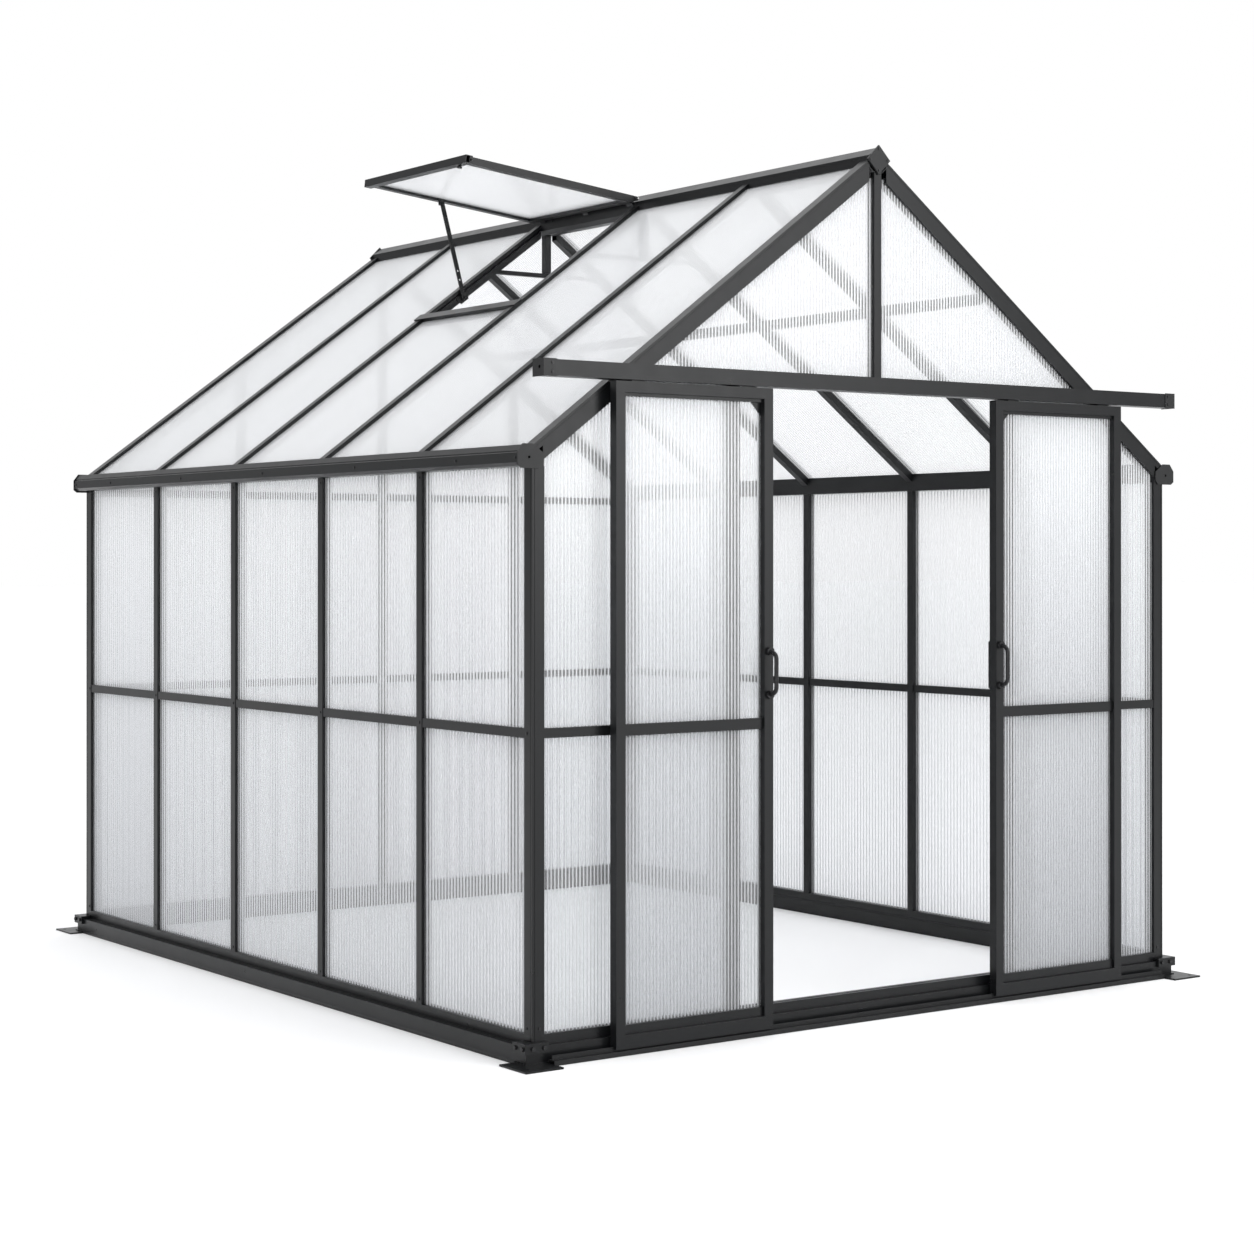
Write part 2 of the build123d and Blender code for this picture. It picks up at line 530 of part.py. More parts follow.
TOP_IN = END_RAFTER_D - 9.2      # gable sheets reach this line inside the end rafters' groove
REAR_SHEETS = [(-HALF_W + 30.6, -630.6), (-619.4, -5.6), (5.6, 619.4), (630.6, HALF_W - 30.6)]
with BuildPart() as rear_wall_panels:
    with BuildSketch(Plane.XZ.offset(-HALF_L + SHEET0)):
        for a, b in REAR_SHEETS:
            for lo, hi in (Z_LOW, (Z_RAIL + 5.6, Z_TIE - 5.6)):
                with Locations(((a + b) / 2, (lo + hi) / 2)):
                    Rectangle(b - a, hi - lo)
        # gable sheets: the outer ones start clear of the eave beams, the inner ones
        # have their top corner cut level beside the ridge beam
        for sg in (-1, 1):
            lo_z = Z_TIE + 5.6
            Polygon(*ccw([(sg * 1205, lo_z), (sg * 630.6, lo_z), (sg * 630.6, under(630.6, TOP_IN)),
                          (sg * 1205, under(1205, TOP_IN))]), align=None)
            Polygon(*ccw([(sg * 619.4, lo_z), (sg * 5.6, lo_z), (sg * 5.6, under(34.6, TOP_IN)),
                          (sg * 34.6, under(34.6, TOP_IN)), (sg * 619.4, under(619.4, TOP_IN))]), align=None)
    extrude(amount=SHEET)

with BuildPart() as front_wall_panels:
    with BuildSketch(Plane.XZ.offset(HALF_L - SHEET0 - SHEET)):
        xo, xi = HALF_W - 30.6, JAMB_X + JAMB_W / 2 - 9.4
        xt = (APEX - TOP_IN / CS - (Z_LINTEL + 7.4)) / TN      # where the sheet meets the lintel
        for sg in (-1, 1):
            Polygon(*ccw([(sg * xo, Z_LOW[0]), (sg * xi, Z_LOW[0]), (sg * xi, Z_LOW[1]), (sg * xo, Z_LOW[1])]), align=None)
            Polygon(*ccw([(sg * xo, Z_UP[0]), (sg * xi, Z_UP[0]), (sg * xi, Z_LINTEL + 7.4), (sg * (xt - 18), Z_LINTEL + 7.4),
                          (sg * 1205, under(1205, TOP_IN + 1)), (sg * 1205, Z_EAVE - 0.5), (sg * xo, Z_EAVE - 0.5)]), align=None)
            zg = Z_LINTEL + LINTEL_H - 7.4
            xg = (APEX - TOP_IN / CS - zg) / TN
            Polygon(*ccw([(sg * 5.6, zg), (sg * (xg - 22), zg), (sg * (xg - 22), under(xg - 22, TOP_IN)),
                          (sg * 34.6, under(34.6, TOP_IN)), (sg * 5.6, under(34.6, TOP_IN))]), align=None)
    extrude(amount=SHEET)

with BuildPart() as left_roof_panels:
    for i, (a, b) in enumerate(SIDE_SHEETS_Y):
        d0 = VENT_BAR_D + 2.6 if i == 2 else 56.0
        with BuildSketch(slope_plane("left", d0, (a + b) / 2)):
            with Locations((0, -SHEET0 - SHEET / 2)):
                Rectangle(b - a, SHEET)
        extrude(amount=1560.0 - d0)

with BuildPart() as right_roof_panels:
    for a, b in SIDE_SHEETS_Y:
        with BuildSketch(slope_plane("right", 56.0, (a + b) / 2)):
            with Locations((0, -SHEET0 - SHEET / 2)):
                Rectangle(b - a, SHEET)
        extrude(amount=1560.0 - 56.0)

# ------------------------------------------------------- door header and guides
with BuildPart() as door_header_track:
    with BuildSketch(Plane.YZ.offset(-HEADER_HALF)):
        with BuildLine():
            Polyline(
                (SLOT_Y - 4, HEADER_Z0), (HEADER_Y0, HEADER_Z0), (HEADER_Y0, HEADER_Z1), (-HALF_L, HEADER_Z1),
                (-HALF_L, HEADER_Z0), (SLOT_Y + 4, HEADER_Z0), (SLOT_Y + 4, HEADER_Z0 + 2.5),
                (-HALF_L - 2.5, HEADER_Z0 + 2.5), (-HALF_L - 2.5, HEADER_Z1 - 2.5),
                (HEADER_Y0 + 2.5, HEADER_Z1 - 2.5), (HEADER_Y0 + 2.5, HEADER_Z0 + 2.5),
                (SLOT_Y - 4, HEADER_Z0 + 2.5), close=True,
            )
        make_face()
    extrude(amount=2 * HEADER_HALF)

with BuildPart() as header_end_caps:
    with BuildSketch(Plane.YZ.offset(HEADER_HALF)):
        with Locations(((HEADER_Y0 - HALF_L) / 2 - 1, (HEADER_Z0 + HEADER_Z1) / 2)):
            Rectangle(-HALF_L - HEADER_Y0 + 2, HEADER_Z1 - HEADER_Z0 + 4)
        with Locations((SLOT_Y, HEADER_Z0 + 24)):
            Circle(5, mode=Mode.SUBTRACT)
    extrude(amount=4)
    with BuildSketch(Plane.XZ.offset(-HEADER_Y0)):
        with Locations((HEADER_HALF - 18, (HEADER_Z0 + HEADER_Z1) / 2)):
            Rectangle(44, HEADER_Z1 - HEADER_Z0 + 4)
    extrude(amount=2)
    mirror(about=Plane.YZ)

with BuildPart() as bottom_guide_rail:
    y_in = -HALF_L - BASE_OUT_Y - 3.1
    with BuildSketch(Plane.YZ.offset(-BEAM_X)):
        with BuildLine():
            Polyline(
                (y_in, 0), (DOOR_Y0 + 1, 0), (DOOR_Y0 + 1, 14), (SLOT_Y - 1.5, 14), (SLOT_Y - 1.5, 27),
                (SLOT_Y + 1.5, 27), (SLOT_Y + 1.5, 14), (y_in, 14), close=True,
            )
        make_face()
        with Locations(((y_in + DOOR_Y0 + 1) / 2, 7)):
            Rectangle(y_in - DOOR_Y0 - 6, 9, mode=Mode.SUBTRACT)
    extrude(amount=2 * BEAM_X)

# ------------------------------------------------------------------ door leaves
DG0, DG1 = -1528.3, -1521.7      # glazing groove of the door frame
LIP = 9.0                        # the rails stand back this far from the stiles' face
BEAD_Z = 58.0                    # top of the deep part of the bottom rail
DOOR_LOW_TOP = DOOR_RAIL_Z - DOOR_RAIL_H / 2
DOOR_UP_BOT = DOOR_RAIL_Z + DOOR_RAIL_H / 2
MITRE = (BEAD_Z - DOOR_BOT) / STILE_W     # rise of the foot mitres per mm
TOP_RAIL_BOT = 1832.0
INNER_X0, INNER_X1 = DOOR_IN + STILE_W, DOOR_OUT - STILE_W
HANGER_X = [DOOR_IN + 80.0, DOOR_OUT - 80.0]
WHEEL_Z = HEADER_Z0 + 2.5 + WHEEL_R + 0.1
HANDLE_X = DOOR_IN + STILE_W / 2
HANDLE_Z0, HANDLE_Z1 = 986.0, 1112.0


def stile_outline(outer_x, inner_x):
    """Door stile section (x, y), grooved on the side that faces the sheet."""
    sg = 1.0 if inner_x > outer_x else -1.0
    prof = [(outer_x, DOOR_Y0), (inner_x, DOOR_Y0), (inner_x, DG0), (inner_x - sg * 10, DG0), (inner_x - sg * 10, DG1),
            (inner_x, DG1), (inner_x, DOOR_Y1), (outer_x, DOOR_Y1)]
    hol = [(outer_x + sg * 2, DOOR_Y0 + 2), (inner_x - sg * 12, DOOR_Y0 + 2), (inner_x - sg * 12, DOOR_Y1 - 2),
           (outer_x + sg * 2, DOOR_Y1 - 2)]
    return ccw(prof), ccw(hol)


def build_stiles(sg):
    with BuildPart() as stiles:
        for outer_x, inner_x in ((DOOR_IN, INNER_X0), (DOOR_OUT, INNER_X1)):
            prof, hol = stile_outline(sg * outer_x, sg * inner_x)
            with BuildSketch(Plane.XY.offset(DOOR_BOT)):
                Polygon(*prof, align=None)
                Polygon(*hol, align=None, mode=Mode.SUBTRACT)
            extrude(amount=DOOR_TOP - DOOR_BOT)
        # mitres at the foot
        with BuildSketch(Plane.XZ):
            for corner, inner in ((DOOR_IN, INNER_X0 + 1), (DOOR_OUT, INNER_X1 - 1)):
                Polygon(*ccw([(sg * corner, DOOR_BOT - 1), (sg * inner, DOOR_BOT - 1), (sg * inner, BEAD_Z + MITRE + 0.1),
                              (sg * corner, DOOR_BOT + 0.1)]), align=None)
        extrude(amount=1700, both=True, mode=Mode.SUBTRACT)
        with BuildSketch(Plane.XY.offset(DOOR_BOT)):
            with Locations((sg * (DOOR_IN + DOOR_OUT) / 2, SLOT_Y)):
                Rectangle(DOOR_OUT - DOOR_IN + 2, 7)
        extrude(amount=10, mode=Mode.SUBTRACT)
    return stiles


def build_rails(sg):
    lo, hi = min(sg * INNER_X0, sg * INNER_X1), max(sg * INNER_X0, sg * INNER_X1)
    yz = Plane.YZ.offset(lo)
    with BuildPart() as rails:
        # top rail with a stepped glazing lip
        with BuildSketch(yz):
            Polygon(*ccw([(DOOR_Y0, DOOR_TOP), (DOOR_Y0, TOP_RAIL_BOT + 10), (DOOR_Y0 + LIP, TOP_RAIL_BOT + 10),
                          (DOOR_Y0 + LIP, TOP_RAIL_BOT), (DG0, TOP_RAIL_BOT), (DG0, TOP_RAIL_BOT + 9), (DG1, TOP_RAIL_BOT + 9),
                          (DG1, TOP_RAIL_BOT), (DOOR_Y1, TOP_RAIL_BOT), (DOOR_Y1, DOOR_TOP)]), align=None)
            Polygon(*ccw([(DOOR_Y0 + 2, DOOR_TOP - 2), (DOOR_Y0 + 2, TOP_RAIL_BOT + 12), (DOOR_Y1 - 2, TOP_RAIL_BOT + 12),
                          (DOOR_Y1 - 2, DOOR_TOP - 2)]), align=None, mode=Mode.SUBTRACT)
            # mid rail
            Polygon(*ccw([(DOOR_Y0 + LIP, DOOR_LOW_TOP), (DG0, DOOR_LOW_TOP), (DG0, DOOR_LOW_TOP + 9), (DG1, DOOR_LOW_TOP + 9),
                          (DG1, DOOR_LOW_TOP), (DOOR_Y1 - 1, DOOR_LOW_TOP), (DOOR_Y1 - 1, DOOR_UP_BOT), (DG1, DOOR_UP_BOT),
                          (DG1, DOOR_UP_BOT - 9), (DG0, DOOR_UP_BOT - 9), (DG0, DOOR_UP_BOT), (DOOR_Y0 + LIP, DOOR_UP_BOT)]), align=None)
            Polygon(*ccw([(DOOR_Y0 + LIP + 2, DOOR_LOW_TOP + 11), (DOOR_Y1 - 3, DOOR_LOW_TOP + 11), (DOOR_Y1 - 3, DOOR_UP_BOT - 11),
                          (DOOR_Y0 + LIP + 2, DOOR_UP_BOT - 11)]), align=None, mode=Mode.SUBTRACT)
            # glazing bead on the bottom rail
            Polygon(*ccw([(DOOR_Y0 + LIP, BEAD_Z + 0.1), (DOOR_Y1, BEAD_Z + 0.1), (DOOR_Y1, 84), (DG1, 84), (DG1, 74), (DG0, 74),
                          (DG0, 84), (DOOR_Y0 + LIP, 84)]), align=None)
        extrude(amount=hi - lo)
        # bottom rail, mitred to the stiles, slotted underneath for the guide fin
        x0, x1 = min(sg * DOOR_IN, sg * DOOR_OUT), max(sg * DOOR_IN, sg * DOOR_OUT)
        with BuildSketch(Plane.XZ.offset(-DOOR_Y1)):
            Polygon(*ccw([(x0, DOOR_BOT), (x1, DOOR_BOT), (x1 - STILE_W, BEAD_Z), (x0 + STILE_W, BEAD_Z)]), align=None)
        extrude(amount=DOOR_Y1 - DOOR_Y0)
        with BuildSketch(Plane.YZ.offset(x0)):
            with Locations((SLOT_Y, DOOR_BOT + 5)):
                Rectangle(7, 10)
            with Locations(((DOOR_Y0 + DOOR_Y1) / 2, (DOOR_BOT + 12.5 + BEAD_Z - 2.5) / 2)):
                Rectangle(DOOR_Y1 - DOOR_Y0 - 5, BEAD_Z - 2.5 - DOOR_BOT - 12.5)
        extrude(amount=x1 - x0, mode=Mode.SUBTRACT)
        # corner plate in the upper corner by the meeting stile
        with BuildSketch(Plane.XZ.offset(-DG0 + 0.3)):
            Polygon(*ccw([(sg * (INNER_X0 + 0.2), TOP_RAIL_BOT - 0.2), (sg * (INNER_X0 + 36), TOP_RAIL_BOT - 0.2),
                          (sg * (INNER_X0 + 0.2), TOP_RAIL_BOT - 40)]), align=None)
        extrude(amount=2.4)
    return rails


def build_sheets(sg):
    with BuildPart() as sheets:
        with BuildSketch(Plane.XZ.offset(-DG1 + 0.3)):
            for lo, hi in ((74.6, DOOR_LOW_TOP + 8.4), (DOOR_UP_BOT - 8.4, TOP_RAIL_BOT + 8.4)):
                with Locations((sg * (DOOR_IN + DOOR_OUT) / 2, (lo + hi) / 2)):
                    Rectangle(INNER_X1 - INNER_X0 + 2 * 9.4, hi - lo)
        extrude(amount=SHEET)
    return sheets


def build_handles(sg):
    x = sg * HANDLE_X
    grip_y = DOOR_Y0 - 34
    with BuildPart() as handles:
        # outer pull: a bowed round bar on two round feet
        with BuildLine() as bow:
            FilletPolyline(
                (x, DOOR_Y0 - 4, HANDLE_Z0), (x, grip_y, HANDLE_Z0 + 8), (x, grip_y, HANDLE_Z1 - 8),
                (x, DOOR_Y0 - 4, HANDLE_Z1), radius=20,
            )
        with BuildSketch(Plane(origin=bow.line @ 0, z_dir=bow.line % 0)):
            Circle(6.5)
        sweep(path=bow.line)
        with BuildSketch(Plane(origin=(x, DOOR_Y0, HANDLE_Z0), x_dir=(1, 0, 0), z_dir=(0, -1, 0)),
                         Plane(origin=(x, DOOR_Y0, HANDLE_Z1), x_dir=(1, 0, 0), z_dir=(0, -1, 0))):
            Circle(12)
        extrude(amount=11)
        # inner pull: a low rounded ridge that clears the door jamb
        with BuildSketch(Plane(origin=(x, DOOR_Y1, (HANDLE_Z0 + HANDLE_Z1) / 2), x_dir=(1, 0, 0), z_dir=(0, 1, 0))):
            RectangleRounded(18, HANDLE_Z1 - HANDLE_Z0 + 24, 7)
        extrude(amount=13)
    return handles


def build_hangers(sg):
    with BuildPart() as hangers:
        with BuildSketch(Plane.XY.offset(DOOR_TOP)):
            with Locations(*[(sg * hx, SLOT_Y) for hx in HANGER_X]):
                Rectangle(46, 18)
        extrude(amount=3)
        with BuildSketch(Plane.XZ.offset(-(SLOT_Y + 1.5))):
            with Locations(*[(sg * hx, (DOOR_TOP + 2 + WHEEL_Z + 9) / 2) for hx in HANGER_X]):
                Rectangle(34, WHEEL_Z + 9 - DOOR_TOP - 2)
            with Locations(*[(sg * hx, WHEEL_Z) for hx in HANGER_X]):
                Circle(AXLE_R + 0.05, mode=Mode.SUBTRACT)
        extrude(amount=3)
    return hangers


def build_wheelset(x):
    """Two nylon wheels on one axle, one wheel each side of the hanger plate."""
    with BuildPart() as wheels:
        with BuildSketch(Plane.XZ.offset(-(SLOT_Y + 13))):
            with Locations((x, WHEEL_Z)):
                Circle(AXLE_R)
        extrude(amount=26)
        with BuildSketch(Plane.XZ.offset(-(SLOT_Y + 12.5)), Plane.XZ.offset(-(SLOT_Y - 5))):
            with Locations((x, WHEEL_Z)):
                Circle(WHEEL_R)
        extrude(amount=7.5)
    return wheels


right_door_stiles = build_stiles(1)
right_door_rails = build_rails(1)
right_door_panels = build_sheets(1)
right_door_handles = build_handles(1)
right_door_hangers = build_hangers(1)
right_inner_wheelset = build_wheelset(HANGER_X[0])
right_outer_wheelset = build_wheelset(HANGER_X[1])
left_door_stiles = build_stiles(-1)
left_door_rails = build_rails(-1)
left_door_panels = build_sheets(-1)
left_door_handles = build_handles(-1)
left_door_hangers = build_hangers(-1)
left_inner_wheelset = build_wheelset(-HANGER_X[0])
left_outer_wheelset = build_wheelset(-HANGER_X[1])

# ------------------------------------------------------------------- roof vent
# Vent sizes are stated in the closed position: d down the slope from the apex,
# h above the rafter top line.  The solids are made in the open position.
PIV_D, PIV_H = 36.0, 24.0
PIV_X, PIV_Z = slope_point("left", PIV_D, PIV_H)
BETA = math.radians(VENT_OPEN) - SLOPE
VS = (-math.cos(BETA), math.sin(BETA))       # outwards along the vent, (x, z)
VN = (math.sin(BETA), math.cos(BETA))        # out of the vent's upper face, (x, z)


def vent_point(d, h):
    return (PIV_X + (d - PIV_D) * VS[0] + (h - PIV_H) * VN[0], PIV_Z + (d - PIV_D) * VS[1] + (h - PIV_H) * VN[1])


def vent_run(d, y):
    """Plane square to the vent's length; local X is -Y, local Y out of its upper face."""
    x, z = vent_point(d, 0)
    return Plane(origin=(x, y, z), x_dir=(0, -1, 0), z_dir=(VS[0], 0, VS[1]))


def vent_cross(y):
    """Plane across the vent: local X along its length, local Y out of its upper face, normal +Y."""
    x, z = vent_point(0, 0)
    return Plane(origin=(x, y, z), x_dir=(VS[0], 0, VS[1]), z_dir=(0, 1, 0))


VH0, VH1 = 8.0, 32.0          # underside and top of the vent frame
VP0 = 17.0                    # underside of the vent sheet
RAIL_IN, RAIL_OUT = 290.0, 315.0

with BuildPart() as vent_side_rails:
    for sg in (-1, 1):
        with BuildSketch(vent_run(46, 0)):
            Polygon(*ccw([(sg * RAIL_IN, VH0), (sg * RAIL_OUT, VH0), (sg * RAIL_OUT, VH1), (sg * RAIL_IN, VH1),
                          (sg * RAIL_IN, VP0 + 6.2), (sg * (RAIL_IN + 9), VP0 + 6.2), (sg * (RAIL_IN + 9), VP0 - 0.2),
                          (sg * RAIL_IN, VP0 - 0.2)]), align=None)
            Polygon(*ccw([(sg * (RAIL_IN + 11), VH0 + 2), (sg * (RAIL_OUT - 2), VH0 + 2), (sg * (RAIL_OUT - 2), VH1 - 2),
                          (sg * (RAIL_IN + 11), VH1 - 2)]), align=None, mode=Mode.SUBTRACT)
        extrude(amount=VENT_LEN - 26.2 - 46)

with BuildPart() as vent_cross_rails:
    with BuildSketch(vent_cross(-RAIL_IN + 0.1)):
        Polygon(*ccw([(46, VH0), (72, VH0), (72, VP0 - 0.2), (63, VP0 - 0.2), (63, VP0 + 6.2), (72, VP0 + 6.2), (72, VH1), (46, VH1)]), align=None)
        Polygon(*ccw([(48, VH0 + 2), (61, VH0 + 2), (61, VH1 - 2), (48, VH1 - 2)]), align=None, mode=Mode.SUBTRACT)
    extrude(amount=2 * RAIL_IN - 0.2)
    # outer rail, longer than the vent is wide
    with BuildSketch(vent_cross(-322)):
        Polygon(*ccw([(700, VH0), (VENT_LEN, VH0), (VENT_LEN, 34), (700, 34), (700, VP0 + 6.2), (709, VP0 + 6.2),
                      (709, VP0 - 0.2), (700, VP0 - 0.2)]), align=None)
        Polygon(*ccw([(711, VH0 + 2), (VENT_LEN - 2, VH0 + 2), (VENT_LEN - 2, 32), (711, 32)]), align=None, mode=Mode.SUBTRACT)
    extrude(amount=660)

with BuildPart() as vent_panel:
    with BuildSketch(vent_cross(-RAIL_IN - 8.4)):
        Polygon(*ccw([(64, VP0), (708.4, VP0), (708.4, VP0 + SHEET), (64, VP0 + SHEET)]), align=None)
    extrude(amount=2 * (RAIL_IN + 8.4))

# hinge: fixed knuckles on the ridge beam, moving knuckles on the vent, one pin
with BuildPart() as vent_hinge_brackets:
    with BuildSketch(Plane.XZ.offset(282), Plane.XZ.offset(16), Plane.XZ.offset(-250)):
        with Locations((PIV_X, PIV_Z)):
            Circle(7)
        Polygon(*ccw([(PIV_X - 2, PIV_Z - 6.5), (-34.1, 2586), (-34.1, 2596.8), (PIV_X + 2, PIV_Z + 5)]), align=None)
        with Locations((PIV_X, PIV_Z)):
            Circle(PIN_R + 0.05, mode=Mode.SUBTRACT)
    extrude(amount=-32)

with BuildPart() as vent_hinge_knuckles:
    with BuildSketch(*[Plane.XZ.offset(-y) for y in (-318, -240, 26, 292)]):
        with Locations((PIV_X, PIV_Z)):
            Circle(7)
        Polygon(*ccw([vent_point(36, 31), vent_point(45.9, 31), vent_point(45.9, 18), vent_point(36, 17)]), align=None)
        with Locations((PIV_X, PIV_Z)):
            Circle(PIN_R, mode=Mode.SUBTRACT)
    extrude(amount=-26)

with BuildPart() as vent_hinge_pin:
    with BuildSketch(Plane.XZ.offset(326)):
        with Locations((PIV_X, PIV_Z)):
            Circle(PIN_R)
    extrude(amount=-652)

# stay: flat bar pivoted under the rear side rail, its foot against the rafter bracket
STAY_TOP_D, STAY_TOP_H = 447.0, -2.0
STAY_FOOT_D, STAY_FOOT_H = 477.0, -31.0
ST = vent_point(STAY_TOP_D, STAY_TOP_H)
SF = slope_point("left", STAY_FOOT_D, STAY_FOOT_H)
STAY_L = math.hypot(SF[0] - ST[0], SF[1] - ST[1])
STAY_DIR = ((SF[0] - ST[0]) / STAY_L, (SF[1] - ST[1]) / STAY_L)
BAR_Y0, BAR_Y1 = 274.0, 278.0     # the flat bar of the stay
LUG_Y = 280.4

with BuildPart() as vent_stay:
    with BuildSketch(Plane(origin=(ST[0], BAR_Y1, ST[1]), x_dir=(STAY_DIR[0], 0, STAY_DIR[1]), z_dir=(0, -1, 0))):
        with Locations((STAY_L / 2, 0)):
            SlotCenterToCenter(STAY_L, 16)
        Circle(PIN_R + 0.05, mode=Mode.SUBTRACT)
        for k in range(4):
            with Locations((STAY_L - 32 * k, 0)):
                Circle(3.4, mode=Mode.SUBTRACT)
    extrude(amount=BAR_Y1 - BAR_Y0)

with BuildPart() as vent_stay_pivot:
    # cranked lug under the rear side rail: it hangs inside the rafter when the vent is shut
    with BuildSketch(vent_cross(LUG_Y)):
        Polygon(*ccw([(STAY_TOP_D - 14, 15), (STAY_TOP_D + 14, 15), (STAY_TOP_D + 9, -9), (STAY_TOP_D - 9, -9)]), align=None)
    extrude(amount=4)
    with BuildSketch(vent_cross(LUG_Y + 4)):
        Polygon(*ccw([(STAY_TOP_D - 14, 9), (STAY_TOP_D + 14, 9), (STAY_TOP_D + 14, 15), (STAY_TOP_D - 14, 15)]), align=None)
    extrude(amount=RAIL_IN - 0.1 - LUG_Y - 4)
    with BuildSketch(Plane.XZ.offset(-LUG_Y)):
        with Locations(ST):
            Circle(6)
    extrude(amount=LUG_Y - BAR_Y1 - 0.3)
    with BuildSketch(Plane.XZ.offset(-LUG_Y)):
        with Locations(ST):
            Circle(PIN_R)
    extrude(amount=LUG_Y - BAR_Y0 + 0.4)
    with BuildSketch(Plane.XZ.offset(-BAR_Y0 + 0.3)):
        with Locations(ST):
            Circle(5.5)
    extrude(amount=3)

with BuildPart() as vent_stay_bracket:
    # plate on the inner face of the rafter with the rest for the foot of the stay
    with BuildSketch(Plane.XZ.offset(-284.9)):
        Polygon(*ccw([slope_point("left", STAY_FOOT_D + a, h) for a, h in ((-26, -20), (26, -20), (18, -46), (-18, -46))]), align=None)
    extrude(amount=3.9)
    with BuildSketch(Plane.XZ.offset(-281.5)):
        with Locations(SF):
            Circle(7)
    extrude(amount=281.5 - BAR_Y1 - 0.5)

with BuildPart() as vent_knob:
    # small catch knob under the outer rail, by its front corner
    kx, kz = vent_point(713, VH0)
    with BuildSketch(Plane(origin=(kx, -266, kz), x_dir=(0, 1, 0), z_dir=(-VN[0], 0, -VN[1]))):
        Circle(4)
    extrude(amount=5)
    with BuildSketch(Plane(origin=(kx - 5 * VN[0], -266, kz - 5 * VN[1]), x_dir=(0, 1, 0), z_dir=(-VN[0], 0, -VN[1]))):
        Circle(8)
    extrude(amount=5)

# ------------------------------------------------------------------- fasteners
def head_planes():
    """Seats of the pan-head screws on the outer faces of the frame."""
    seats = []
    for sg in (-1, 1):
        wall = sg * HALF_W
        out = (sg, 0, 0)
        for y in STUD_Y:
            for z in (Z_SILL + 14, Z_RAIL, Z_EAVE - 16):
                seats.append(Plane(origin=(wall, y, z), z_dir=out))
        for y in (-1472.0, 1472.0):
            for z in (96.0, Z_RAIL):
                seats.append(Plane(origin=(wall, y, z), z_dir=out))
        for y in (-1488.0, -1180.0, -600.0, 0.0, 600.0, 1180.0, 1488.0):
            seats.append(Plane(origin=(sg * 1298, y, 1654), z_dir=out))
    for sg in (-1, 1):
        for z in (96.0, Z_RAIL, 1600.0):
            seats.append(Plane(origin=(sg * (HALF_W - 24), HALF_L, z), z_dir=(0, 1, 0)))
        seats.append(Plane(origin=(sg * (HALF_W - 24), -HALF_L, 96.0), z_dir=(0, -1, 0)))
        # ridge end caps
        for dx, dz in ((0, 34), (34, 0), (-34, 0), (0, -32)):
            seats.append(Plane(origin=(dx, sg * (HALF_L + 7), 2584 + dz), z_dir=(0, sg, 0)))
        # header end caps
        for dz in (10, 35):
            seats.append(Plane(origin=(sg * (HEADER_HALF - 26), HEADER_Y0 - 2, HEADER_Z0 + dz), z_dir=(0, -1, 0)))
    for x in REAR_X:
        for z in (Z_SILL + 14, Z_RAIL, Z_TIE):
            seats.append(Plane(origin=(x, HALF_L, z), z_dir=(0, 1, 0)))
    return seats


with BuildPart() as frame_screws:
    with BuildSketch(*head_planes()):
        Circle(4.2)
    extrude(amount=2.2)

with BuildPart() as foot_bolts:
    for sx in (-1, 1):
        for sy in (-1, 1):
            side_x = sx * (HALF_W + BASE_OUT_X + 9)
            side_y = sy * (HALF_L + BASE_OUT_Y + 9)
            with BuildSketch(
                Plane(origin=(side_x, sy * (HALF_L - 26), 48), z_dir=(sx, 0, 0)),
                Plane(origin=(side_x, sy * (HALF_L + 10), 48), z_dir=(sx, 0, 0)),
                Plane(origin=(sx * (HALF_W - 26), side_y, 48), z_dir=(0, sy, 0)),
                Plane(origin=(sx * (HALF_W + 12), side_y, 48), z_dir=(0, sy, 0)),
            ):
                RegularPolygon(6.5, 6)
            extrude(amount=5)

